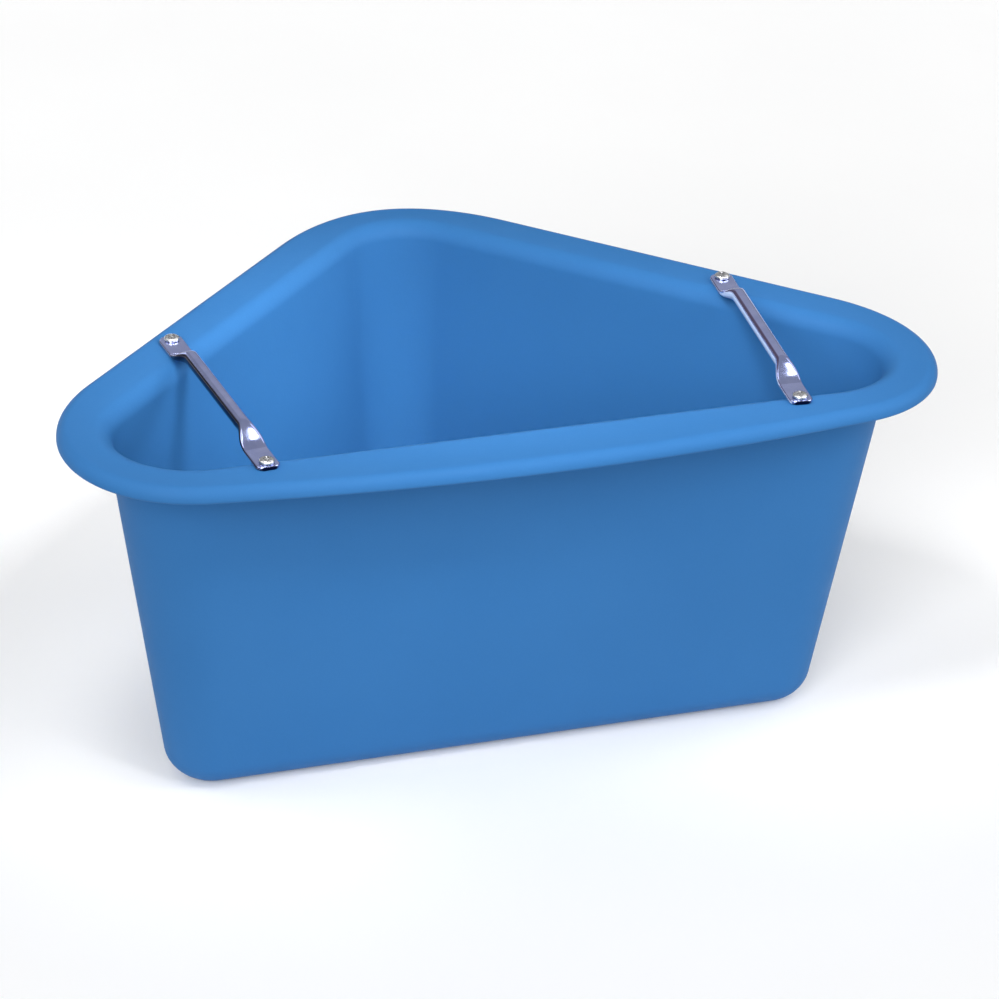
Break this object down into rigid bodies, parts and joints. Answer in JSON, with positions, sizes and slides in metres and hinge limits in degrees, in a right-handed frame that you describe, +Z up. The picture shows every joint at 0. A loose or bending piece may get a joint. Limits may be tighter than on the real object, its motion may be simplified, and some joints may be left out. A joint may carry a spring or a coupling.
{
  "type": "corner feed manger",
  "caption": "Open triangular feed tub with a wide rolled rim for the corner of a stable, and a steel bar bolted across each acute corner.",
  "frame": {"origin": "on the plane of the tub's base, at the middle of the tub's plan box", "axes": "+Z up, +Y towards the right-angled corner that goes into the corner of the stable, -Y towards the horse, +X along the long front rim"},
  "size_m": [0.71, 0.4804, 0.3315],
  "materials": {
    "blue_polymer": "moulded polymer, smooth satin surface",
    "bar_steel": "bright plated steel tube with dark scale along its seam",
    "zinc_steel": "bright zinc plating",
    "nylon": "natural nylon"
  },
  "bodies": {
    "root": {"manger_tub": "blue_polymer", "left_bar": "bar_steel", "right_bar": "bar_steel", "left_front_bolt": "zinc_steel", "left_front_washer": "zinc_steel", "left_front_nut": "zinc_steel", "left_front_insert": "nylon", "left_rear_bolt": "zinc_steel", "left_rear_washer": "zinc_steel", "left_rear_nut": "zinc_steel", "left_rear_insert": "nylon", "right_front_bolt": "zinc_steel", "right_front_washer": "zinc_steel", "right_front_nut": "zinc_steel", "right_front_insert": "nylon", "right_rear_bolt": "zinc_steel", "right_rear_washer": "zinc_steel", "right_rear_nut": "zinc_steel", "right_rear_insert": "nylon"}
  },
  "joints": []
}
